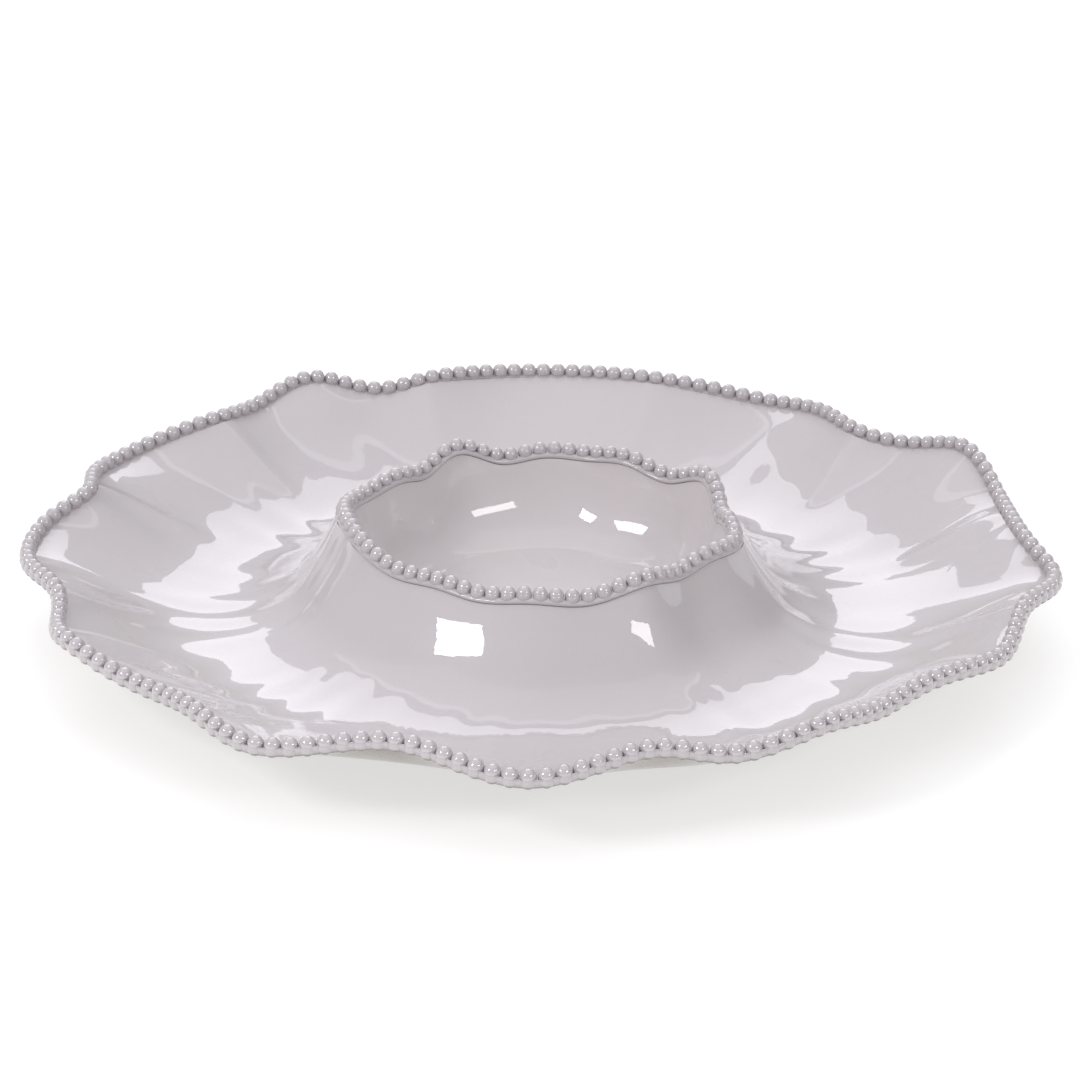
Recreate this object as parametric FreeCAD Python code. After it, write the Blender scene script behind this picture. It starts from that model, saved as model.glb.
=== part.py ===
import FreeCAD, Part
import math
import os

# Chip and dip server, in millimetres.
# One moulding in the real object: a round tray with a ruffled rim, and a dip bowl raised in its
# middle on a flared pedestal. Both rims carry a string of beads on a rounded edge.
# +Z is up, Z = 0 is the surface it stands on, and X = Y = 0 is the middle of its footprint.

# Bead centres along the outer rim: bearing in degrees from +X, radius, height.
# Each row is one scallop, from its crest, down its flank to the notch and up the next flank.
# Every third crest stands high.
OUTER_RIM = [
    (0, 179.5, 27.5), (13, 175, 29.5), (20, 178.5, 30),
    (28, 180, 36.5), (36, 174.5, 31), (44, 167, 31), (52, 175, 30.5),
    (60, 178, 28), (68, 174.5, 30.5), (75, 172, 32.5),
    (90, 180, 30), (98, 176, 31.5), (106, 171, 32), (112, 176, 28.5),
    (119, 182.5, 34.5), (127, 179, 31), (136, 172, 33), (143, 177.5, 30.5),
    (151, 182, 28.5), (158, 179, 30.5), (165, 172, 32.5), (171, 179, 30),
    (178, 183, 27.5), (186, 179, 29.5), (194, 172.5, 31), (201, 177, 29.5),
    (209, 181.5, 33.5), (216, 176.5, 30), (224, 173, 29), (231, 177.5, 31),
    (239, 182.5, 28.5), (247, 175.5, 31), (255, 171, 33.5),
    (269, 182, 29), (276, 177, 31.5), (283, 172.5, 33.5), (290, 176.5, 30.5),
    (301, 179, 35.5), (310, 173, 31), (318, 170, 31), (326, 173, 29.5),
    (334, 176, 27), (344, 174, 30.5),
]

# Bead centres along the dip rim, in the same form: high points with hollows between them.
DIP_RIM = [
    (5, 66, 41), (18, 67.5, 41), (30, 70, 45), (45, 68, 39.5), (60, 66.5, 42.5), (75, 68.5, 41),
    (90, 69, 41), (104, 67.5, 40), (118, 68, 45.5), (130, 65.5, 41), (144, 64.5, 43), (156, 67, 42),
    (172, 70, 43.5), (188, 69, 46), (209, 68, 44.5), (224, 66, 41.5), (237, 64.5, 42),
    (252, 66.5, 41), (268, 68, 42.5), (284, 68.5, 41.5), (300, 70, 46), (316, 65.5, 42),
    (329, 66.5, 43.5), (345, 70, 42),
]

WALL = 2.6                    # thickness of the moulded shell
BEARING_STEP = 1.5            # degrees between the sections of every surface

# Borders
OUTER_BEAD_COUNT = 197
OUTER_BEAD_RADIUS = 2.85
OUTER_BEAD_LEAN = 22.0        # degrees that the outer beads lean inwards, square to the flared wall
OUTER_FIRST_BEAD = 268.9      # bearing of the first bead
DIP_BEAD_COUNT = 79
DIP_BEAD_RADIUS = 2.7
DIP_FIRST_BEAD = 270.0
BEAD_SINK = 0.9               # how far the bead's seat lies below its centre
SEAT_GAP = 0.08               # the waving seat stays clear of the flat cap by this much
SEAT_HALF_WIDTH = 2.6

# The ring where the pedestal's foot ends and the tray begins
JOIN_RADIUS = 106.0
JOIN_HEIGHT = 7.6

# Pedestal section, from the dip rim (0, 1) to the join (1, 0), as shares of its width and height
PEDESTAL_SHARES = [(0.0, 1.0), (0.055, 0.88), (0.13, 0.72), (0.235, 0.55), (0.35, 0.37),
                   (0.48, 0.215), (0.63, 0.122), (0.78, 0.062), (0.89, 0.025), (1.0, 0.0)]

# Tray section at a place where the rim is at its mean: the flat floor, then the flared wall
MEAN_RIM_RADIUS = 176.5
MEAN_RIM_HEIGHT = 30.7
FLOOR_POINTS = [(JOIN_RADIUS, JOIN_HEIGHT), (111.0, 7.0), (120.0, 6.7)]
FLARE_POINTS = [(132.0, 8.7), (144.0, 13.3), (155.0, 19.0), (164.0, 23.8), (169.5, 26.8)]
FLARE_START = 120.0           # radius where the ruffle starts to show
RUFFLE_POWER = 2.0            # how fast the ruffle grows towards the rim

# Dip bowl
BOWL_FLOOR_HEIGHT = 9.0
BOWL_DISC_RADIUS = 30.0
# Bowl section from the rim inwards: share of the mouth's radius, share of the bowl's depth
BOWL_SHARES = [(1.0, 1.0), (0.985, 0.86), (0.955, 0.66), (0.91, 0.42), (0.84, 0.2),
               (0.74, 0.055), (0.62, 0.0)]

# Foot ring
FOOT_INNER_RADIUS = 110.0
FOOT_OUTER_RADIUS = 114.5
FOOT_EDGE = 1.0               # bevel of the foot's two lower edges
FOOT_BLANK_HEIGHT = 5.5       # reaches into the floor, before it is trimmed to it


def rim_curve(points):
    """A closed smooth curve whose value at a bearing is (radius, height)."""
    curve = Part.BSplineCurve()
    bearings = [row[0] for row in points]
    handles = [FreeCAD.Vector(row[1], row[2], 0) for row in points]
    curve.interpolate(Points=handles, Parameters=bearings + [bearings[0] + 360.0], PeriodicFlag=True)
    return curve


def rim_at(curve, bearing):
    first = curve.FirstParameter
    point = curve.value(first + (bearing - first) % 360.0)
    return point.x, point.y


OUTER_CURVE = rim_curve(OUTER_RIM)
DIP_CURVE = rim_curve(DIP_RIM)
RING_BEARINGS = [BEARING_STEP * i for i in range(round(360 / BEARING_STEP))]


def polar(bearing, radius, height):
    angle = math.radians(bearing)
    return FreeCAD.Vector(radius * math.cos(angle), radius * math.sin(angle), height)


def middle_of_rim():
    """The middle of the outer rim's box, which becomes X = Y = 0."""
    ring = [polar(bearing, *rim_at(OUTER_CURVE, bearing)) for bearing in RING_BEARINGS]
    xs = [point.x for point in ring]
    ys = [point.y for point in ring]
    return FreeCAD.Vector((min(xs) + max(xs)) / 2, (min(ys) + max(ys)) / 2, 0)


MIDDLE = middle_of_rim()


def place(bearing, radius, height):
    return polar(bearing, radius, height) - MIDDLE


# ---- Sections: lists of (radius, height) at one bearing ------------------------------------------

def offset_point(origin, along, out, up):
    """A point at distances out and up in a frame turned by an angle in degrees."""
    angle = math.radians(along)
    radius = origin[0] + out * math.cos(angle) - up * math.sin(angle)
    height = origin[1] + out * math.sin(angle) + up * math.cos(angle)
    return radius, height


def below(section, thickness):
    """The section moved square to itself, away from its upper side."""
    moved = []
    for i, (radius, height) in enumerate(section):
        before = section[max(i - 1, 0)]
        after = section[min(i + 1, len(section) - 1)]
        run = after[0] - before[0]
        rise = after[1] - before[1]
        length = math.hypot(run, rise)
        moved.append((radius + thickness * rise / length, height - thickness * run / length))
    return moved


def outer_seat(bearing):
    """Inner and outer edge of the seat under the outer beads."""
    centre = rim_at(OUTER_CURVE, bearing)
    inner = offset_point(centre, OUTER_BEAD_LEAN, -2.9, -BEAD_SINK)
    outer = offset_point(centre, OUTER_BEAD_LEAN, 2.4, -BEAD_SINK)
    return inner, outer


def tray_top(bearing):
    radius, height = rim_at(OUTER_CURVE, bearing)
    section = list(FLOOR_POINTS)
    for base_radius, base_height in FLARE_POINTS:
        share = (base_radius - FLARE_START) / (MEAN_RIM_RADIUS - FLARE_START)
        ruffle = share ** RUFFLE_POWER
        section.append((base_radius + ruffle * (radius - MEAN_RIM_RADIUS),
                        base_height + ruffle * (height - MEAN_RIM_HEIGHT)))
    section.append(outer_seat(bearing)[0])
    return section


def tray_under(bearing):
    return below(tray_top(bearing), WALL)


def outer_roll(bearing):
    """The rounded edge, from the seat's outer edge round to the underside of the wall."""
    radius, height = rim_at(OUTER_CURVE, bearing)
    seat_edge = outer_seat(bearing)[1]
    bulge = [(3.9, -0.7), (4.5, -2.6), (3.4, -4.9), (1.2, -5.2)]
    rounded = [(radius + out, height + up) for out, up in bulge]
    return [seat_edge] + rounded + [tray_under(bearing)[-1]]


def dip_wall_top(bearing, side):
    """Where a wall of the bowl meets the dip rim's roll: side +1 is the pedestal, -1 the bowl."""
    radius, height = rim_at(DIP_CURVE, bearing)
    return radius + side * SEAT_HALF_WIDTH, height - 3.0


def pedestal_top(bearing):
    start = dip_wall_top(bearing, 1)
    width = JOIN_RADIUS - start[0]
    drop = start[1] - JOIN_HEIGHT
    return [(start[0] + across * width, JOIN_HEIGHT + down * drop) for across, down in PEDESTAL_SHARES]


def pedestal_under(bearing):
    middle = rim_at(DIP_CURVE, bearing)[0]
    section = [(max(radius, middle), height) for radius, height in below(pedestal_top(bearing), WALL)]
    section[0] = (middle, dip_wall_top(bearing, 1)[1])
    section[-1] = tray_under(bearing)[0]
    return section


def bowl_top(bearing):
    start = dip_wall_top(bearing, -1)
    depth = start[1] - BOWL_FLOOR_HEIGHT
    section = [(start[0] * across, BOWL_FLOOR_HEIGHT + up * depth) for across, up in BOWL_SHARES]
    section.append((BOWL_DISC_RADIUS, BOWL_FLOOR_HEIGHT))
    return section


def bowl_under(bearing):
    middle = rim_at(DIP_CURVE, bearing)[0]
    section = [(min(radius, middle), height) for radius, height in below(bowl_top(bearing), -WALL)]
    section[0] = (middle, dip_wall_top(bearing, -1)[1])
    section[-1] = (BOWL_DISC_RADIUS, BOWL_FLOOR_HEIGHT - WALL)
    return section


def dip_roll_side(bearing, side):
    radius, height = rim_at(DIP_CURVE, bearing)
    bulge = [(SEAT_HALF_WIDTH, -3.0), (3.7, -2.9), (3.7, -1.1), (SEAT_HALF_WIDTH, -BEAD_SINK)]
    return [(radius + side * out, height + up) for out, up in bulge]


# ---- Surfaces and solids ------------------------------------------------------------------------

def ring_poles(ring):
    """Poles of a closed cubic that passes through the ring's points: each point moves out by a
    sixth of its second difference."""
    poles = []
    for i, point in enumerate(ring):
        before = ring[i - 1]
        after = ring[(i + 1) % len(ring)]
        poles.append(point - (before - point * 2 + after) / 6)
    return poles


def ring_surface(section):
    """A face that runs once round, through the control points that section gives at each bearing."""
    columns = [[place(bearing, *point) for point in section(bearing)] for bearing in RING_BEARINGS]
    rows = [ring_poles(list(row)) for row in zip(*columns)]
    degree = min(3, len(rows) - 1)
    spans = len(rows) - degree
    poles = [list(column) for column in zip(*rows)]
    surface = Part.BSplineSurface()
    surface.buildFromPolesMultsKnots(
        poles,
        [1] * (len(poles) + 1), [degree + 1] + [1] * (spans - 1) + [degree + 1],
        [float(i) for i in range(len(poles) + 1)], [float(i) for i in range(spans + 1)],
        True, False, 3, degree)
    return surface.toShape()


def closed_solid(faces, name):
    shell = Part.Shell(faces)
    shell.sewShape()
    solid = Part.Solid(Part.Shell(shell.Faces))
    if solid.Volume < 0:
        solid.reverse()
    if not solid.isValid():
        raise ValueError(name + " is not a valid solid")
    return solid


def strip(first, second):
    """A section of two points: straight across from one edge to the other."""
    return lambda bearing: [first(bearing), second(bearing)]


def shell_solid(top, under, name):
    """A wall between two sections, closed by a straight strip along both edges."""
    faces = [
        ring_surface(top),
        ring_surface(under),
        ring_surface(strip(lambda b: top(b)[0], lambda b: under(b)[0])),
        ring_surface(strip(lambda b: top(b)[-1], lambda b: under(b)[-1])),
    ]
    return closed_solid(faces, name)


def make_chip_tray():
    return shell_solid(tray_top, tray_under, "chip_tray")


def make_pedestal_wall():
    return shell_solid(pedestal_top, pedestal_under, "pedestal_wall")


def make_outer_rim_roll():
    faces = [
        ring_surface(outer_roll),
        ring_surface(strip(lambda b: outer_seat(b)[0], lambda b: outer_seat(b)[1])),
        ring_surface(strip(lambda b: tray_top(b)[-1], lambda b: tray_under(b)[-1])),
    ]
    return closed_solid(faces, "outer_rim_roll")


def make_dip_rim_roll():
    faces = [ring_surface(lambda b, side=side: dip_roll_side(b, side)) for side in (1, -1)]
    for row in (0, -1):
        faces.append(ring_surface(lambda b, row=row: [dip_roll_side(b, 1)[row], dip_roll_side(b, -1)[row]]))
    return closed_solid(faces, "dip_rim_roll")


def disc_face(wall_face, height):
    """The flat disc that closes a wall at its level inner edge."""
    edges = [edge for edge in wall_face.Edges
             if edge.BoundBox.ZLength < 0.001 and abs(edge.CenterOfMass.z - height) < 0.001]
    return Part.Face(Part.Wire(edges[:1]))


def make_dip_bowl():
    upper = ring_surface(bowl_top)
    lower = ring_surface(bowl_under)
    mouth = ring_surface(strip(lambda b: bowl_top(b)[0], lambda b: bowl_under(b)[0]))
    faces = [upper, lower, mouth,
             disc_face(upper, BOWL_FLOOR_HEIGHT), disc_face(lower, BOWL_FLOOR_HEIGHT - WALL)]
    return closed_solid(faces, "dip_bowl")


def make_beads(curve, count, radius, lean, first_bearing):
    """Beads at equal steps along a rim, each a ball with a flat seat that leans inwards."""
    ring = [place(first_bearing + bearing, *rim_at(curve, first_bearing + bearing))
            for bearing in RING_BEARINGS]
    rim = Part.BSplineCurve()
    rim.interpolate(Points=ring, PeriodicFlag=True)
    centres = rim.toShape().discretize(Number=count + 1)[:-1]
    seat_angle = -math.degrees(math.asin((BEAD_SINK - SEAT_GAP) / radius))
    beads = []
    for centre in centres:
        bearing = math.atan2(centre.y + MIDDLE.y, centre.x + MIDDLE.x)
        tilt = math.radians(lean)
        axis = FreeCAD.Vector(-math.sin(tilt) * math.cos(bearing), -math.sin(tilt) * math.sin(bearing),
                              math.cos(tilt))
        beads.append(Part.makeSphere(radius, centre, axis, seat_angle, 90, 360))
    return Part.makeCompound(beads)


def make_foot_ring(tray):
    """A plain ring with a rounded lower edge, trimmed where it meets the underside of the tray."""
    section = [
        (FOOT_INNER_RADIUS, FOOT_EDGE), (FOOT_INNER_RADIUS + FOOT_EDGE, 0.0),
        (FOOT_OUTER_RADIUS - FOOT_EDGE, 0.0), (FOOT_OUTER_RADIUS, FOOT_EDGE),
        (FOOT_OUTER_RADIUS, FOOT_BLANK_HEIGHT), (FOOT_INNER_RADIUS, FOOT_BLANK_HEIGHT),
    ]
    corners = [FreeCAD.Vector(radius, 0, height) for radius, height in section]
    outline = Part.makePolygon(corners + corners[:1])
    blank = Part.Face(outline).revolve(FreeCAD.Vector(0, 0, 0), FreeCAD.Vector(0, 0, 1), 360)
    blank.translate(-MIDDLE)
    trimmed = blank.cut(tray)
    return min(trimmed.Solids, key=lambda solid: solid.CenterOfMass.z)


def main():
    os.makedirs("parts", exist_ok=True)
    tray = make_chip_tray()
    nodes = {
        "chip_tray": tray,
        "foot_ring": make_foot_ring(tray),
        "outer_rim_roll": make_outer_rim_roll(),
        "pedestal_wall": make_pedestal_wall(),
        "dip_bowl": make_dip_bowl(),
        "dip_rim_roll": make_dip_rim_roll(),
        "outer_rim_beads": make_beads(OUTER_CURVE, OUTER_BEAD_COUNT, OUTER_BEAD_RADIUS,
                                      OUTER_BEAD_LEAN, OUTER_FIRST_BEAD),
        "dip_rim_beads": make_beads(DIP_CURVE, DIP_BEAD_COUNT, DIP_BEAD_RADIUS, 0.0, DIP_FIRST_BEAD),
    }
    for name, shape in nodes.items():
        shape.exportStep("parts/" + name + ".step")
        box = shape.BoundBox
        print(name, "valid", shape.isValid(), "solids", len(shape.Solids), "volume", round(shape.Volume),
              "box", [round(v, 2) for v in (box.XMin, box.XMax, box.YMin, box.YMax, box.ZMin, box.ZMax)])


main()
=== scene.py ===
import math

import bpy
import numpy as np
from mathutils import Matrix, Vector


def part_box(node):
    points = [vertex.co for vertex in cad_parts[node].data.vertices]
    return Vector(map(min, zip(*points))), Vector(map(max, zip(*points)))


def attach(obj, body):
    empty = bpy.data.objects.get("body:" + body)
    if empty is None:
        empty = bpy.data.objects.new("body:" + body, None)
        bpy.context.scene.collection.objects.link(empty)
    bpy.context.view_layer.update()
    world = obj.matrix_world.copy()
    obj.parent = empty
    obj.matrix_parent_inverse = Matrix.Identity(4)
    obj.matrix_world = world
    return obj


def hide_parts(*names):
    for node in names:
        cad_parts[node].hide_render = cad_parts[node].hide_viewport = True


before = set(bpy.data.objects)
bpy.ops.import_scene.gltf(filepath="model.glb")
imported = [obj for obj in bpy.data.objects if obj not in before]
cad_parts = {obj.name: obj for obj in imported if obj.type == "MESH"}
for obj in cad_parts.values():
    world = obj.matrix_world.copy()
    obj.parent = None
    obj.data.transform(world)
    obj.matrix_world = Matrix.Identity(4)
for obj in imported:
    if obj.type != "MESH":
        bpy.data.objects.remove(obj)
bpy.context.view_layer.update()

# Sections are worked out in millimetres about the bowl's axis, as (radius, height) at a bearing in
# degrees from +X, and become metres in the row frame when a mesh is made.
MM = 0.001
COLUMNS = 720                 # bearings in each large mesh
DISH_STEPS = 112              # rows in the mesh of pedestal and tray
BOWL_STEPS = 66               # rows in the mesh of the bowl
WALL = 2.6
JOIN_RADIUS = 106.0
JOIN_HEIGHT = 7.6


def axis_of_bowl():
    """The foot ring is turned about the bowl's axis, so the middle of its box is on it."""
    low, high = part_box("foot_ring")
    return np.array([(low.x + high.x) / 2, (low.y + high.y) / 2, 0.0]) / MM


AXIS = axis_of_bowl()


# ---- The rims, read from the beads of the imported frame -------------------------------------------

def loose_parts(faces, count):
    """A number for each vertex that is the same all over its loose part."""
    label = np.arange(count)
    while True:
        lowest = np.repeat(label[faces].min(axis=1), 3)
        spread = label.copy()
        np.minimum.at(spread, faces.ravel(), lowest)
        spread = spread[spread]
        if (spread == label).all():
            return label
        label = spread


def ball_centres(node):
    """Centres of a node's balls about the bowl's axis, in mm, in order of bearing."""
    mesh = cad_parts[node].data
    points = np.empty(len(mesh.vertices) * 3, np.float32)
    mesh.vertices.foreach_get("co", points)
    mesh.calc_loop_triangles()
    faces = np.empty(len(mesh.loop_triangles) * 3, np.int32)
    mesh.loop_triangles.foreach_get("vertices", faces)
    points = points.reshape(-1, 3).astype(float) / MM
    points, same = np.unique(np.round(points, 4), axis=0, return_inverse=True)
    part = loose_parts(same.ravel()[faces].reshape(-1, 3), len(points))
    centres = []
    for number in np.unique(part):
        shell = points[part == number]
        middle = shell.mean(axis=0)
        local = shell - middle
        system = np.hstack([2 * local, np.ones((len(local), 1))])
        fit = np.linalg.lstsq(system, (local ** 2).sum(axis=1), rcond=None)[0]
        centres.append(middle + fit[:3] - AXIS)
    centres = np.array(centres)
    order = np.argsort(np.degrees(np.arctan2(centres[:, 1], centres[:, 0])) % 360)
    return centres[order]


class Rim:
    """A closed smooth curve through bead centres: radius and height at any bearing."""

    def __init__(self, centres):
        self.knots = np.degrees(np.arctan2(centres[:, 1], centres[:, 0])) % 360
        self.values = np.stack([np.hypot(centres[:, 0], centres[:, 1]), centres[:, 2]], axis=1)
        count = len(self.knots)
        self.gap = np.diff(np.append(self.knots, self.knots[0] + 360))
        slope = (np.roll(self.values, -1, axis=0) - self.values) / self.gap[:, None]
        system = np.zeros((count, count))
        for i in range(count):
            system[i, i - 1] = self.gap[i - 1]
            system[i, i] = 2 * (self.gap[i - 1] + self.gap[i])
            system[i, (i + 1) % count] = self.gap[i]
        self.bend = np.linalg.solve(system, 6 * (slope - np.roll(slope, 1, axis=0)))

    def at(self, bearings):
        along = (np.asarray(bearings, float) - self.knots[0]) % 360
        i = np.searchsorted(self.knots - self.knots[0], along, side="right") - 1
        j = (i + 1) % len(self.knots)
        t = ((along - (self.knots[i] - self.knots[0])) / self.gap[i])[:, None]
        squared = (self.gap[i] ** 2)[:, None] / 6
        value = (1 - t) * self.values[i] + t * self.values[j] + squared * (
            ((1 - t) ** 3 - (1 - t)) * self.bend[i] + (t ** 3 - t) * self.bend[j])
        return value[:, 0], value[:, 1]


OUTER_BALLS = ball_centres("outer_rim_beads")
DIP_BALLS = ball_centres("dip_rim_beads")
OUTER = Rim(OUTER_BALLS)
DIP = Rim(DIP_BALLS)


# ---- Sections: arrays of (radius, height), one row per control point, one column per bearing ------

PEDESTAL_SHARES = [(0.0, 1.0), (0.055, 0.88), (0.13, 0.72), (0.235, 0.55), (0.35, 0.37),
                   (0.48, 0.215), (0.63, 0.122), (0.78, 0.062), (0.89, 0.025), (1.0, 0.0)]
FLOOR_POINTS = [(111.0, 7.0), (120.0, 6.7)]
FLARE_POINTS = [(132.0, 8.7), (144.0, 13.3), (155.0, 19.0), (164.0, 23.8), (169.5, 26.8)]
MEAN_RIM_RADIUS = 176.5
MEAN_RIM_HEIGHT = 30.7
FLARE_START = 120.0
BOWL_SHARES = [(1.0, 1.0), (0.985, 0.86), (0.955, 0.66), (0.91, 0.42), (0.84, 0.2),
               (0.74, 0.055), (0.62, 0.0)]
BOWL_FLOOR_HEIGHT = 9.0
BOWL_DISC_RADIUS = 30.0
OUTER_LEAN = math.radians(22.0)
BEAD_SINK = 0.9
OUTER_SEAT_INNER = -2.9       # where the tray ends and the roll begins, from the beads' centres
OUTER_SEAT_OUTER = 2.4
DIP_HALF_WIDTH = 2.6
DIP_SEAT_DROP = 3.0           # how far the wall's upper end lies below the dip beads' centres
BOWL_INNER_RADII = (BOWL_DISC_RADIUS, 15.0, 0.5)


def leaned(radius, height, out, up):
    """A point at distances out and up from a rim, in the frame that leans with the outer beads."""
    return (radius + out * math.cos(OUTER_LEAN) - up * math.sin(OUTER_LEAN),
            height + out * math.sin(OUTER_LEAN) + up * math.cos(OUTER_LEAN))


def dish_rows(bearings):
    """Pedestal and tray as one run, from the dip rim out to the seat of the outer beads."""
    dip_radius, dip_height = DIP.at(bearings)
    radius, height = OUTER.at(bearings)
    start_radius = dip_radius + DIP_HALF_WIDTH
    start_height = dip_height - DIP_SEAT_DROP
    rows = [(start_radius + across * (JOIN_RADIUS - start_radius),
             JOIN_HEIGHT + down * (start_height - JOIN_HEIGHT)) for across, down in PEDESTAL_SHARES]
    rows += [(np.full_like(radius, r), np.full_like(radius, h)) for r, h in FLOOR_POINTS]
    for r, h in FLARE_POINTS:
        ruffle = ((r - FLARE_START) / (MEAN_RIM_RADIUS - FLARE_START)) ** 2
        rows.append((r + ruffle * (radius - MEAN_RIM_RADIUS), h + ruffle * (height - MEAN_RIM_HEIGHT)))
    rows.append(leaned(radius, height, OUTER_SEAT_INNER, -BEAD_SINK))
    return np.array(rows)


def bowl_rows(bearings):
    """The bowl's inside, from the dip rim to the middle of its floor."""
    dip_radius, dip_height = DIP.at(bearings)
    start_radius = dip_radius - DIP_HALF_WIDTH
    depth = dip_height - DIP_SEAT_DROP - BOWL_FLOOR_HEIGHT
    rows = [(start_radius * across, BOWL_FLOOR_HEIGHT + up * depth) for across, up in BOWL_SHARES]
    for r in BOWL_INNER_RADII:
        rows.append((np.full_like(depth, r), np.full_like(depth, BOWL_FLOOR_HEIGHT)))
    return np.array(rows)


def spline_weights(count, at):
    """Weights of the control points of a clamped cubic B-spline at parameters from 0 to 1."""
    knots = np.concatenate([np.zeros(3), np.linspace(0, 1, count - 2), np.ones(3)])
    at = np.clip(at, 0, 1 - 1e-9)[:, None]
    weights = ((knots[:-1] <= at) & (at < knots[1:])).astype(float)
    for degree in (1, 2, 3):
        rise = knots[degree:-1] - knots[:-degree - 1]
        fall = knots[degree + 1:] - knots[1:-degree]
        up = np.where(rise > 0, (at - knots[:-degree - 1]) / np.where(rise > 0, rise, 1), 0)
        down = np.where(fall > 0, (knots[degree + 1:] - at) / np.where(fall > 0, fall, 1), 0)
        weights = up * weights[:, :-1] + down * weights[:, 1:]
    return weights


def smooth_section(rows, steps):
    """The section's curve at evenly spaced parameters: (steps, columns) radius and height."""
    weights = spline_weights(len(rows), np.linspace(0, 1, steps))
    return weights @ rows[:, 0, :], weights @ rows[:, 1, :]


def solid_points(radius, height, bearings):
    """Points in space for each radius and height of a section."""
    angle = np.radians(bearings)
    return np.stack([radius * np.cos(angle), radius * np.sin(angle),
                     height * np.ones_like(radius)], axis=-1)


def grid_normals(points):
    """Normals of a grid whose columns close on themselves."""
    across = np.gradient(points, axis=0)
    around = (np.roll(points, -1, axis=1) - np.roll(points, 1, axis=1)) / 2
    normal = np.cross(across, around)
    return normal / np.maximum(np.linalg.norm(normal, axis=-1, keepdims=True), 1e-12)


# ---- Small relief that the mould gives the surfaces ------------------------------------------------

def hump(value, low, high, edge):
    """1 between low and high, falling smoothly to 0 over edge."""
    rise = np.clip((value - low) / edge + 1, 0, 1)
    fall = np.clip((high - value) / edge + 1, 0, 1)
    return (rise * rise * (3 - 2 * rise)) * (fall * fall * (3 - 2 * fall))


def away(bearings, centre):
    """Degrees from a centre bearing, from -180 to 180."""
    return (bearings - centre + 180) % 360 - 180


# Fine ripples round the pedestal's foot and the well: waves in a turn, phase in radians, share
FLUTE_HEIGHT = 0.15
FLUTES = [(31, 0.3, 0.40), (38, 2.1, 0.48), (47, 4.4, 0.42), (56, 1.2, 0.16)]
# Soft dimples of the tray: waves in a turn, pull towards a spiral, phase in radians
HAMMER_HEIGHT = 0.05
HAMMER_MIDDLE = 130
HAMMER = [(9, 0.045, 0.5), (14, -0.06, 1.9), (21, 0.05, 4.0), (27, -0.075, 2.6)]
# Folds that run in from the rim: bearing at the rim, bearing at their inner end, size
FOLD_END = 136.0
FOLD_HALF_WIDTH = 2.0
FOLDS = [(14, 15.5, 1.5), (44, 42, 0.9), (75, 76, 0.8), (106, 106, 0.9), (136, 134, 1.0),
         (161, 156, 1.5), (195, 188, 1.3), (213, 214, 1.0), (255, 255, 0.7), (283, 283, 0.7),
         (317, 318, 0.9), (344, 347, 1.2)]
# Shallow pockets in the slope between folds: bearing, half width, depth, radius of the deepest point
POCKET_REACH = 13
POCKETS = [(19, 9, 1.0, 138), (150, 9, 0.4, 140), (118, 8, 0.9, 158), (96, 7, 0.8, 163),
           (64, 9, 0.9, 158), (333, 8, 0.5, 138)]
# The pedestal's foot runs out wider at the front right
SKIRT_BEARING = 312
SKIRT_HALF_WIDTH = 24
SKIRT_HEIGHT = 2.2
# Upright pleats on the pedestal: bearing, half width, size
PLEATS = [(347, 3.0, 0.9), (354, 2.2, -0.7), (2, 2.4, 0.8), (10, 2.2, -0.5), (171, 2.4, 0.6),
          (179, 2.2, -0.6), (187, 2.4, 0.9), (195, 2.2, -0.6), (204, 3.0, 0.5)]


def dish_relief(radius, bearings):
    """Height of the relief on the pedestal and tray, square to the surface, in mm."""
    angle = np.radians(bearings)
    flutes = sum(size * np.cos(count * angle + turn) for count, turn, size in FLUTES)
    relief = FLUTE_HEIGHT * flutes * hump(radius, 103, 145, 16)
    hammer = sum(np.cos(count * angle + pull * (radius - HAMMER_MIDDLE) + turn)
                 for count, pull, turn in HAMMER)
    relief = relief + HAMMER_HEIGHT * hammer * hump(radius, 112, 160, 14)
    for at_rim, at_end, size in FOLDS:
        share = np.clip((radius - FOLD_END) / (MEAN_RIM_RADIUS - FOLD_END), 0, 1)
        side = away(bearings, at_end + share * (at_rim - at_end)) / FOLD_HALF_WIDTH
        relief = relief + size * np.exp(-side ** 2) * hump(radius, 146, 164, 16)
    side = away(bearings, SKIRT_BEARING) / SKIRT_HALF_WIDTH
    relief = relief + SKIRT_HEIGHT * np.exp(-side ** 2) * hump(radius, 100, 111, 27)
    for centre, width, depth, reach in POCKETS:
        side = away(bearings, centre) / width
        across = (radius - reach) / POCKET_REACH
        relief = relief - depth * np.exp(-side ** 2 - across ** 2)
    for centre, width, size in PLEATS:
        side = away(bearings, centre) / width
        relief = relief + size * np.exp(-side ** 2) * hump(radius, 74, 90, 16)
    return relief


# ---- Meshes ----------------------------------------------------------------------------------------

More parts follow.
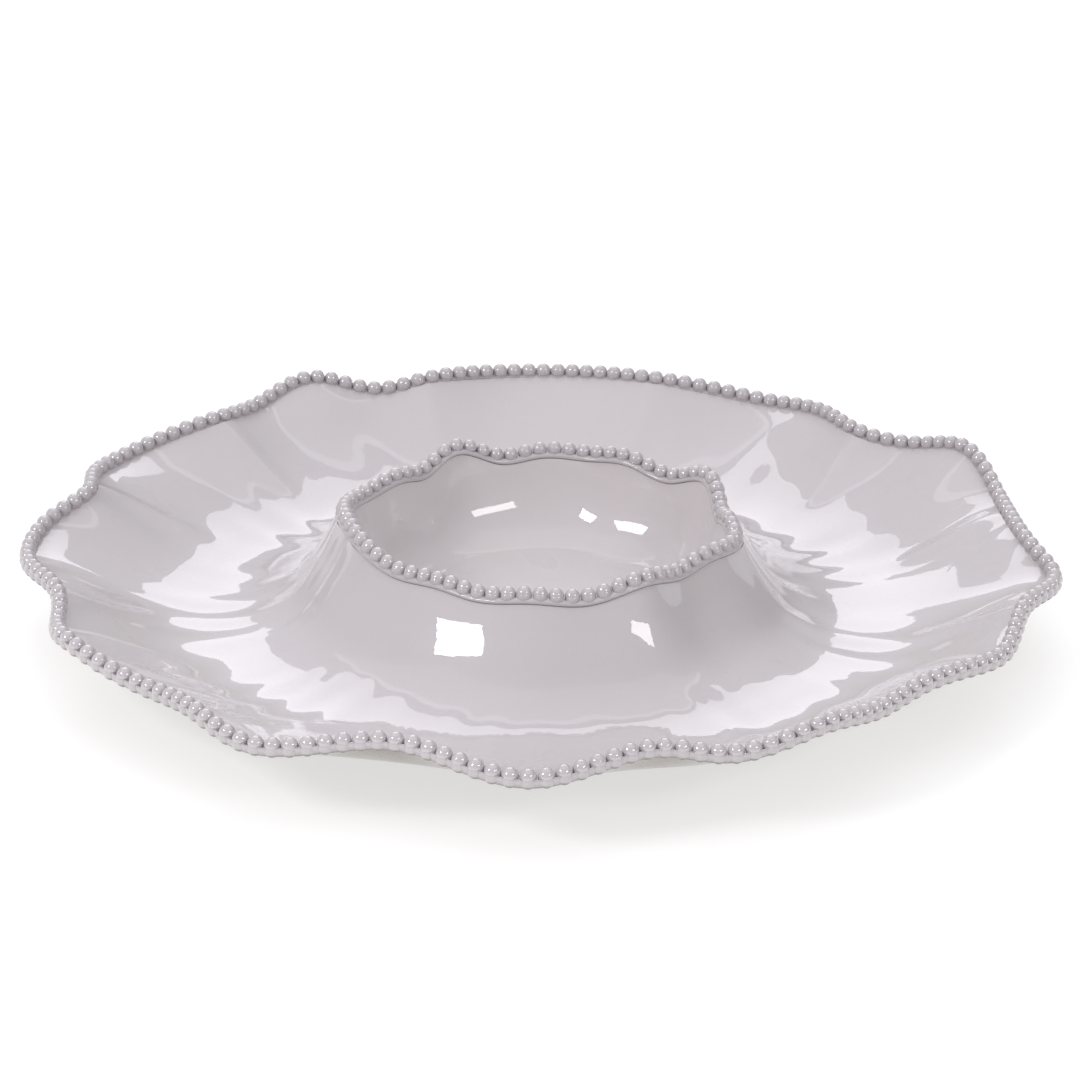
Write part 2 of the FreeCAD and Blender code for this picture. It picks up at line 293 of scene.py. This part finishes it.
def make_piece(name, grids, caps=()):
    """A closed shell from grids laid edge to edge round the section. Each grid is (points, normals)
    or (points, None) for a flat strip. Caps are (grid number, row, 1 or -1 for up or down) rings that
    one flat face closes."""
    points, faces, normals, agree = [], [], [], 0.0
    for grid, normal in grids:
        rows, columns = grid.shape[:2]
        start = sum(len(p) for p in points)
        corner = grid.reshape(-1, 3)
        points.append(corner)
        index = np.arange(rows * columns).reshape(rows, columns)
        beside = np.roll(index, -1, axis=1)
        quads = np.stack([index[:-1], index[1:], beside[1:], beside[:-1]], axis=-1).reshape(-1, 4)
        faces.append(quads + start)
        flat = np.cross(corner[quads[:, 2]] - corner[quads[:, 0]], corner[quads[:, 3]] - corner[quads[:, 1]])
        flat /= np.maximum(np.linalg.norm(flat, axis=1, keepdims=True), 1e-12)
        if normal is None:
            normals.append(np.repeat(flat, 4, axis=0))
        else:
            normals.append(normal.reshape(-1, 3)[quads.ravel()])
            agree += (flat * normals[-1][::4]).sum()
    points = np.vstack(points)
    faces = np.vstack(faces)
    normals = np.vstack(normals).reshape(-1, 4, 3)
    if agree < 0:
        faces = faces[:, ::-1]
        normals = normals[:, ::-1]
        strips = np.concatenate([np.full(g.shape[1] * (g.shape[0] - 1), n is None) for g, n in grids])
        normals = np.where(strips[:, None, None], -normals, normals)
    normals = normals.reshape(-1, 3)
    points, keep, same = np.unique(np.round(points, 5), axis=0, return_index=True, return_inverse=True)
    same = same.ravel()
    polygons = same[faces].tolist()
    for number, row, up in caps:
        start = sum(g.shape[0] * g.shape[1] for g, _ in grids[:number])
        columns = grids[number][0].shape[1]
        ring = same[start + row * columns + np.arange(columns)]
        polygons.append(ring[::int(up)].tolist())
        normals = np.vstack([normals, np.tile([0, 0, up], (columns, 1))])
    mesh = bpy.data.meshes.new(name)
    mesh.from_pydata(((points + AXIS) * MM).tolist(), [], polygons)
    mesh.shade_smooth()
    mesh.normals_split_custom_set(normals.tolist())
    piece = bpy.data.objects.new(name, mesh)
    bpy.context.scene.collection.objects.link(piece)
    return piece


def bridge(first, second):
    """A flat strip from one ring to another."""
    return np.stack([first, second]), None


def make_dish():
    """The pedestal wall and the chip tray, cut from one continuous surface."""
    bearings = np.arange(COLUMNS) * 360 / COLUMNS
    radius, height = smooth_section(dish_rows(bearings), DISH_STEPS)
    base = solid_points(radius, height, bearings)
    normal = grid_normals(base)
    normal = normal * np.sign(normal[DISH_STEPS // 2, 0, 2])
    top = base + normal * dish_relief(radius, bearings)[..., None]
    facing = grid_normals(top)
    facing = facing * np.sign(facing[DISH_STEPS // 2, 0, 2])
    under = base - normal * WALL
    dip_radius = DIP.at(bearings)[0]
    under_radius = np.hypot(under[..., 0], under[..., 1])
    clipped = np.maximum(under_radius, dip_radius)
    under[..., :2] *= (clipped / under_radius)[..., None]
    split = int(np.argmin(np.abs(radius.mean(axis=1) - JOIN_RADIUS)))
    pieces = []
    for name, rows in (("Pedestal_wall", slice(0, split + 1)), ("Chip_tray", slice(split, DISH_STEPS))):
        upper, lower = top[rows], under[rows]
        pieces.append(make_piece(name, [
            (upper[::-1], facing[rows][::-1]),
            bridge(upper[0], lower[0]),
            (lower, -normal[rows]),
            bridge(lower[-1], upper[-1]),
        ]))
    return pieces


def make_bowl():
    """The bowl's inside wall and floor, with its underside a wall's thickness away."""
    bearings = np.arange(COLUMNS) * 360 / COLUMNS
    radius, height = smooth_section(bowl_rows(bearings), BOWL_STEPS)
    top = solid_points(radius, height, bearings)
    facing = -grid_normals(top)
    facing = facing * np.sign(facing[-8, 0, 2])
    under = top - facing * WALL
    dip_radius = DIP.at(bearings)[0]
    under_radius = np.hypot(under[..., 0], under[..., 1])
    clipped = np.minimum(under_radius, dip_radius)
    under[..., :2] *= (clipped / under_radius)[..., None]
    return make_piece("Dip_bowl", [
        (top, facing),
        (under[::-1], -facing[::-1]),
        bridge(under[0], top[0]),
    ], caps=[(0, len(top) - 1, 1.0), (1, 0, -1.0)])


def bead_bearings(rim, per_bead):
    """Bearings that divide the gap from each bead to the next evenly."""
    shares = np.arange(per_bead) / per_bead
    return (rim.knots[:, None] + rim.gap[:, None] * shares).ravel()


def make_outer_roll():
    """The edge under the outer beads: a thin web between them, set back below it."""
    bearings = bead_bearings(OUTER, 6)
    radius, height = OUTER.at(bearings)
    rows = dish_rows(bearings)
    inner = rows[-1]
    before = rows[-2]
    run = inner - before
    run = run / np.hypot(run[0], run[1])
    under_end = inner + WALL * np.array([run[1], -run[0]])
    outer = np.array(leaned(radius, height, OUTER_SEAT_OUTER, -BEAD_SINK))
    edge = [(2.0, 0.2), (2.35, -0.5), (2.3, -1.4), (1.8, -2.6), (1.2, -3.9)]
    rounded = [np.array([radius + out, height + up]) for out, up in edge]
    rows = np.array([outer] + rounded + [under_end])
    curve_radius, curve_height = smooth_section(rows, 22)
    curve = solid_points(curve_radius, curve_height, bearings)
    facing = grid_normals(curve)
    outward = (facing[10, :, :2] * curve[10, :, :2]).sum(axis=-1).mean()
    facing = facing * np.sign(outward)
    seat_inner = solid_points(inner[0], inner[1], bearings)
    return make_piece("Outer_rim_roll", [
        (curve, facing),
        bridge(curve[-1], seat_inner),
        bridge(seat_inner, curve[0]),
    ])


def make_dip_roll():
    """The edge under the dip beads, rounded on both sides."""
    bearings = bead_bearings(DIP, 8)
    radius, height = DIP.at(bearings)
    sides = []
    for side in (1, -1):
        edge = [(DIP_HALF_WIDTH, -DIP_SEAT_DROP), (3.1, -2.6), (3.3, -1.8), (2.8, -1.1), (1.6, -0.9)]
        rows = np.array([(radius + side * out, height + up) for out, up in edge])
        curve_radius, curve_height = smooth_section(rows, 14)
        curve = solid_points(curve_radius, curve_height, bearings)
        facing = grid_normals(curve)
        facing = facing * np.sign(side * (facing[5, :, :2] * curve[5, :, :2]).sum(axis=-1).mean())
        sides.append((curve, facing))
    outer, inner = sides
    return make_piece("Dip_rim_roll", [
        (outer[0][::-1], outer[1][::-1]),
        bridge(outer[0][0], inner[0][0]),
        inner,
        bridge(inner[0][-1], outer[0][-1]),
    ])


FOOT_WIDTH = 4.5
FOOT_GAP = 0.6                # keeps the ring's upper end inside the tray's thickness


def make_foot():
    """A plain ring with rounded lower edges."""
    low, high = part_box("foot_ring")
    outer = (high.x - low.x) / 2 / MM
    inner = outer - FOOT_WIDTH
    top = high.z / MM - FOOT_GAP
    corners = [(inner, top), (inner, 1.4), (inner + 0.25, 0.5), (inner + 1.2, 0.0), (outer - 1.2, 0.0),
               (outer - 0.25, 0.5), (outer, 1.4), (outer, top)]
    bearings = np.arange(360.0)
    rows = np.array([(np.full(360, r), np.full(360, h)) for r, h in corners])
    curve_radius, curve_height = smooth_section(rows, 30)
    curve = solid_points(curve_radius, curve_height, bearings)
    facing = grid_normals(curve)
    facing = facing * -np.sign(facing[15, 0, 2])
    return make_piece("Foot_ring", [(curve, facing), bridge(curve[-1], curve[0])])


def make_balls(name, balls, radius, out=0.0, down=0.0):
    """A string of balls, each moved outwards and down from a bead's centre."""
    around, rings = 24, 16
    polar = np.linspace(0, np.pi, rings + 1)[1:-1]
    turn = np.arange(around) * 2 * np.pi / around
    belts = [np.stack([np.sin(p) * np.cos(turn), np.sin(p) * np.sin(turn), np.full(around, np.cos(p))],
                      axis=1) for p in polar]
    ball = np.vstack([[(0, 0, 1)], *belts, [(0, 0, -1)]])
    faces = []
    for column in range(around):
        after = (column + 1) % around
        faces.append([0, 1 + column, 1 + after])
        for row in range(rings - 2):
            upper = 1 + row * around
            lower = upper + around
            faces.append([upper + column, lower + column, lower + after, upper + after])
        last = 1 + (rings - 2) * around
        faces.append([last + column, len(ball) - 1, last + after])
    outward = balls * (1, 1, 0)
    outward = outward / np.linalg.norm(outward, axis=1, keepdims=True)
    centres = balls + outward * out - np.array([0, 0, down])
    points = (centres[:, None] + ball * radius).reshape(-1, 3)
    polygons = [[v + number * len(ball) for v in face] for number in range(len(balls)) for face in faces]
    mesh = bpy.data.meshes.new(name)
    mesh.from_pydata(((points + AXIS) * MM).tolist(), [], polygons)
    mesh.shade_smooth()
    piece = bpy.data.objects.new(name, mesh)
    bpy.context.scene.collection.objects.link(piece)
    return piece


pedestal, tray = make_dish()
bowl = make_bowl()
outer_roll = make_outer_roll()
dip_roll = make_dip_roll()
foot = make_foot()
outer_beads = make_balls("Outer_rim_beads", OUTER_BALLS, radius=2.85)
outer_scallops = make_balls("Outer_rim_scallops", OUTER_BALLS, radius=2.8, out=0.3, down=1.2)
dip_beads = make_balls("Dip_rim_beads", DIP_BALLS, radius=2.7)
dip_scallops = make_balls("Dip_rim_scallops", DIP_BALLS, radius=2.55, out=0.55, down=0.8)


# ---- Materials -------------------------------------------------------------------------------------

def add(tree, kind, **settings):
    """A new node with its settings."""
    node = tree.nodes.new(kind)
    for key, value in settings.items():
        setattr(node, key, value)
    return node


def noise(tree, position, scale, detail):
    """Cloudy values from 0 to 1."""
    texture = add(tree, "ShaderNodeTexNoise")
    texture.inputs["Scale"].default_value = scale
    texture.inputs["Detail"].default_value = detail
    tree.links.new(position, texture.inputs["Vector"])
    return texture.outputs["Fac"]


def mix_colour(tree, share, first, second):
    """From the first colour to the second as share goes from 0 to 1. Each is a tuple or a socket."""
    mix = add(tree, "ShaderNodeMix", data_type="RGBA")
    tree.links.new(share, mix.inputs["Factor"])
    for socket, value in ((6, first), (7, second)):
        if isinstance(value, tuple):
            mix.inputs[socket].default_value = (*value, 1)
        else:
            tree.links.new(value, mix.inputs[socket])
    return mix.outputs[2]


def spread(tree, value, low, high, out_low, out_high):
    """Maps low..high smoothly to out_low..out_high."""
    ramp = add(tree, "ShaderNodeMapRange", interpolation_type="SMOOTHSTEP")
    tree.links.new(value, ramp.inputs["Value"])
    for key, number in (("From Min", low), ("From Max", high), ("To Min", out_low), ("To Max", out_high)):
        ramp.inputs[key].default_value = number
    return ramp.outputs["Result"]


FLAKE_COLOUR = (0.9, 0.88, 0.9)
# Painted shade: a dark olive brown that the glaze takes on faces pointing downwards
UNDERSIDE_PAINTED_SHADE = (0.17, 0.14, 0.11)
BORDER_COLOURS = ((0.52, 0.49, 0.51), (0.495, 0.465, 0.485), (0.52, 0.49, 0.48))


def melamine(name, colour, deep, warm, roughness=0.30, skin=1.58, skin_roughness=0.012):
    """Pearly melamine: cloudy pigment under a clear hard skin with a faint unevenness. Skin is the
    refractive index of the clear layer."""
    material = bpy.data.materials.new(name)
    material.use_nodes = True
    tree = material.node_tree
    shader = tree.nodes["Principled BSDF"]
    position = add(tree, "ShaderNodeTexCoord").outputs["Object"]
    clouds = noise(tree, position, 14.0, 3.0)
    streaks = noise(tree, position, 60.0, 2.0)
    flakes = noise(tree, position, 2600.0, 1.0)
    tint = mix_colour(tree, spread(tree, clouds, 0.35, 0.68, 0, 1), colour, deep)
    tint = mix_colour(tree, spread(tree, streaks, 0.5, 0.75, 0, 0.35), tint, warm)
    tint = mix_colour(tree, spread(tree, flakes, 0.55, 0.8, 0, 0.12), tint, FLAKE_COLOUR)
    # Painted shade: faces that point downwards are darkened towards a dark olive brown, standing in for the
    # shade under the tray and rims
    facing = add(tree, "ShaderNodeSeparateXYZ")
    tree.links.new(add(tree, "ShaderNodeNewGeometry").outputs["Normal"], facing.inputs["Vector"])
    painted_shade_below = spread(tree, facing.outputs["Z"], -0.7, -0.25, 1, 0)
    tint = mix_colour(tree, painted_shade_below, tint, UNDERSIDE_PAINTED_SHADE)
    tree.links.new(tint, shader.inputs["Base Color"])
    gloss = spread(tree, streaks, 0.3, 0.7, roughness * 0.85, roughness * 1.15)
    tree.links.new(gloss, shader.inputs["Roughness"])
    shader.inputs["IOR"].default_value = 1.5
    shader.inputs["Specular IOR Level"].default_value = 0.05
    shader.inputs["Coat Weight"].default_value = 0.9
    shader.inputs["Coat Roughness"].default_value = skin_roughness
    shader.inputs["Coat IOR"].default_value = skin
    bump = add(tree, "ShaderNodeBump")
    bump.inputs["Strength"].default_value = 0.05
    bump.inputs["Distance"].default_value = 0.0004
    tree.links.new(noise(tree, position, 220.0, 2.0), bump.inputs["Height"])
    tree.links.new(bump.outputs["Normal"], shader.inputs["Normal"])
    tree.links.new(bump.outputs["Normal"], shader.inputs["Coat Normal"])
    return material


glaze = melamine("Melamine_glaze", (0.595, 0.568, 0.585), (0.58, 0.553, 0.568), (0.60, 0.572, 0.568))
# Painted light: the bowl takes a lighter, warmer copy of the tray's glaze, so its inside reads brighter than
# the light falling in the hollow makes it
bowl_glaze_painted_light = melamine("Melamine_bowl_painted_light", (0.65, 0.615, 0.625), (0.635, 0.60, 0.61), (0.655, 0.615, 0.60))
rim_glaze = melamine("Melamine_rim", *BORDER_COLOURS, skin=1.8, skin_roughness=0.08)
bead_glaze = melamine("Melamine_beads", *BORDER_COLOURS, skin=2.2, skin_roughness=0.12)
foot_glaze = melamine("Melamine_foot", (0.56, 0.53, 0.53), (0.52, 0.49, 0.48), (0.5, 0.47, 0.44),
                      roughness=0.4)

LOOKS = [
    (tray, "chip_tray", glaze, "melamine_glaze"),
    (pedestal, "pedestal_wall", glaze, "melamine_glaze"),
    (bowl, "dip_bowl", bowl_glaze_painted_light, "melamine_glaze"),
    (outer_roll, "outer_rim_roll", rim_glaze, "melamine_rim"),
    (outer_scallops, "outer_rim_roll", rim_glaze, "melamine_rim"),
    (dip_roll, "dip_rim_roll", rim_glaze, "melamine_rim"),
    (dip_scallops, "dip_rim_roll", rim_glaze, "melamine_rim"),
    (outer_beads, "outer_rim_beads", bead_glaze, "melamine_beads"),
    (dip_beads, "dip_rim_beads", bead_glaze, "melamine_beads"),
    (foot, "foot_ring", foot_glaze, "melamine_foot"),
]
for piece, node, material, slot in LOOKS:
    piece.data.materials.append(material)
    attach(piece, "root")
    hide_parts(node)


# ---- Floor, surroundings and lights ------------------------------------------------------------------

BACKDROP_LEFT = math.radians(-21)
BACKDROP_RIGHT = math.radians(12)
BACKDROP_FOOT = math.radians(20)
BACKDROP_TOP = math.radians(51)
LEFT_WIDENS_ABOVE = math.radians(38)
RIGHT_WIDENS_ABOVE = math.radians(28)
BACKDROP_COLOUR = (2.6, 2.58, 2.7)
ROOM_LOW = (0.47, 0.45, 0.375)
ROOM_HIGH = (0.60, 0.59, 0.61)
ROOM_DARK = (0.13, 0.12, 0.10)
PANEL_COLOUR = (1.0, 0.98, 1.02)
STRIP_COLOUR = (1.7, 1.68, 1.75)
HORIZON_COLOUR = (0.93, 0.93, 0.925)
HORIZON_TOP = 0.13            # as the sine of an elevation
LIGHT_DISTANCE = 1.9


def make_floor():
    """A round pale floor, wide enough to fill the picture."""
    size, corners = 7.0, 96
    ring = [(size * math.cos(2 * math.pi * i / corners), size * math.sin(2 * math.pi * i / corners), 0.0)
            for i in range(corners)]
    mesh = bpy.data.meshes.new("Floor")
    mesh.from_pydata(ring, [], [list(range(corners))])
    floor = bpy.data.objects.new("Floor", mesh)
    bpy.context.scene.collection.objects.link(floor)
    material = bpy.data.materials.new("Floor_paper")
    material.use_nodes = True
    tree = material.node_tree
    shader = tree.nodes["Principled BSDF"]
    position = add(tree, "ShaderNodeTexCoord").outputs["Object"]
    grain = noise(tree, position, 30.0, 3.0)
    tree.links.new(mix_colour(tree, grain, (0.5, 0.5, 0.5), (0.53, 0.53, 0.53)), shader.inputs["Base Color"])
    shader.inputs["Roughness"].default_value = 0.9
    shader.inputs["Specular IOR Level"].default_value = 0.1
    shader.inputs["Emission Color"].default_value = (1, 1, 1, 1)
    shader.inputs["Emission Strength"].default_value = 0.62
    mesh.materials.append(material)


def make_world():
    """A grey room with a white backdrop that stands behind the object."""
    world = bpy.data.worlds.new("Studio")
    bpy.context.scene.world = world
    world.use_nodes = True
    tree = world.node_tree
    background = tree.nodes["Background"]
    direction = add(tree, "ShaderNodeTexCoord").outputs["Generated"]
    parts = add(tree, "ShaderNodeSeparateXYZ")
    tree.links.new(direction, parts.inputs["Vector"])

    def math_node(operation, *values):
        result = add(tree, "ShaderNodeMath", operation=operation)
        for socket, value in zip(result.inputs, values):
            if isinstance(value, float):
                socket.default_value = value
            else:
                tree.links.new(value, socket)
        return result.outputs[0]

    def towards(x, y, z):
        """How far a direction leans towards (x, y, z), from -1 to 1."""
        lean = add(tree, "ShaderNodeVectorMath", operation="DOT_PRODUCT")
        tree.links.new(direction, lean.inputs[0])
        lean.inputs[1].default_value = Vector((x, y, z)).normalized()
        return lean.outputs["Value"]

    # The backdrop stands at +Y, widens upwards and reaches further to the left than to the right
    across = math_node("ARCTAN2", parts.outputs["X"], parts.outputs["Y"])
    height = math_node("ARCSINE", parts.outputs["Z"])
    left_lean = math_node("MAXIMUM", math_node("SUBTRACT", height, LEFT_WIDENS_ABOVE), 0.0)
    right_lean = math_node("MAXIMUM", math_node("SUBTRACT", height, RIGHT_WIDENS_ABOVE), 0.0)
    from_left = math_node("MULTIPLY_ADD", left_lean, 1.1, across)
    from_right = math_node("MULTIPLY_ADD", right_lean, -0.6, across)
    left_edge = math_node("GREATER_THAN", from_left, BACKDROP_LEFT)
    right_edge = math_node("LESS_THAN", from_right, BACKDROP_RIGHT)
    top_edge = math_node("LESS_THAN", parts.outputs["Z"], math.sin(BACKDROP_TOP))
    foot_rise = math_node("MULTIPLY", math_node("MINIMUM", across, 0.0), -0.2)
    foot_edge = math_node("GREATER_THAN", math_node("SUBTRACT", height, foot_rise), BACKDROP_FOOT)
    backdrop = math_node("MULTIPLY", math_node("MULTIPLY", left_edge, right_edge),
                         math_node("MULTIPLY", top_edge, foot_edge))
    rise = spread(tree, parts.outputs["Z"], 0.16, 0.36, 0, 1)
    room = mix_colour(tree, rise, ROOM_LOW, ROOM_HIGH)
    # It is dim on the right, low down
    dark = math_node("MULTIPLY", spread(tree, towards(0.95, 0.3, 0.0), 0.35, 0.95, 0, 1),
                     spread(tree, parts.outputs["Z"], 0.25, 0.7, 1, 0))
    room = mix_colour(tree, dark, room, ROOM_DARK)
    # A pale panel with a brighter strip along its far edge hangs overhead
    over_x = math_node("DIVIDE", parts.outputs["X"], parts.outputs["Z"])
    over_y = math_node("DIVIDE", parts.outputs["Y"], parts.outputs["Z"])
    above = math_node("MULTIPLY", math_node("GREATER_THAN", parts.outputs["Z"], 0.2),
                      math_node("COMPARE", over_x, -0.04, 0.76))
    panel = math_node("MULTIPLY", above, math_node("COMPARE", over_y, 0.13, 0.45))
    strip = math_node("MULTIPLY", above, math_node("COMPARE", over_y, 0.60, 0.04))
    room = mix_colour(tree, panel, room, PANEL_COLOUR)
    room = mix_colour(tree, strip, room, STRIP_COLOUR)
    # The horizon is pale all round
    horizon = math_node("LESS_THAN", parts.outputs["Z"], HORIZON_TOP)
    room = mix_colour(tree, horizon, room, HORIZON_COLOUR)
    colour = mix_colour(tree, backdrop, room, BACKDROP_COLOUR)
    tree.links.new(colour, background.inputs["Color"])


def make_softbox(name, azimuth, elevation, width, height, power):
    """A rectangular light that faces the object. Azimuth 0 is behind the camera, positive to the right."""
    light = bpy.data.lights.new(name, "AREA")
    light.shape = "RECTANGLE"
    light.size = width
    light.size_y = height
    light.energy = power
    light.color = (1.0, 0.985, 1.0)
    lamp = bpy.data.objects.new(name, light)
    bpy.context.scene.collection.objects.link(lamp)
    a, e = math.radians(azimuth), math.radians(elevation)
    place = Vector((math.sin(a) * math.cos(e), -math.cos(a) * math.cos(e), math.sin(e))) * LIGHT_DISTANCE
    lamp.location = place
    lamp.rotation_euler = place.to_track_quat("Z", "Y").to_euler()


make_floor()
make_world()
make_softbox("Softbox_left", azimuth=-57, elevation=38, width=0.52, height=0.40, power=9.5)
make_softbox("Softbox_right", azimuth=44, elevation=32, width=0.84, height=0.24, power=5.8)


# ---- Camera ------------------------------------------------------------------------------------------

CAMERA_ELEVATION = math.radians(22.97)
CAMERA_DISTANCE = 1521.8 * MM
CAMERA_ROLL = 0.00637
TARGET = (-0.217, 0.0, 33.6)  # from the bowl's axis, in mm
SENSOR = 36.0
FOCAL_LENGTH = 4277.0 / 1080 * SENSOR


def make_camera():
    """Looks down from -Y with a long lens."""
    target = Vector(AXIS * MM) + Vector(TARGET) * MM
    data = bpy.data.cameras.new("Camera")
    data.sensor_fit = "HORIZONTAL"
    data.sensor_width = SENSOR
    data.lens = FOCAL_LENGTH
    data.clip_start = 0.05
    data.clip_end = 40
    camera = bpy.data.objects.new("Camera", data)
    bpy.context.scene.collection.objects.link(camera)
    back = Vector((0, -math.cos(CAMERA_ELEVATION), math.sin(CAMERA_ELEVATION)))
    camera.location = target + CAMERA_DISTANCE * back
    aim = (target - camera.location).to_track_quat("-Z", "Y").to_matrix()
    roll = Matrix.Rotation(CAMERA_ROLL, 3, "Z")
    camera.rotation_euler = (aim @ roll).to_euler()
    bpy.context.scene.camera = camera


make_camera()
bpy.context.scene.view_settings.view_transform = "Standard"
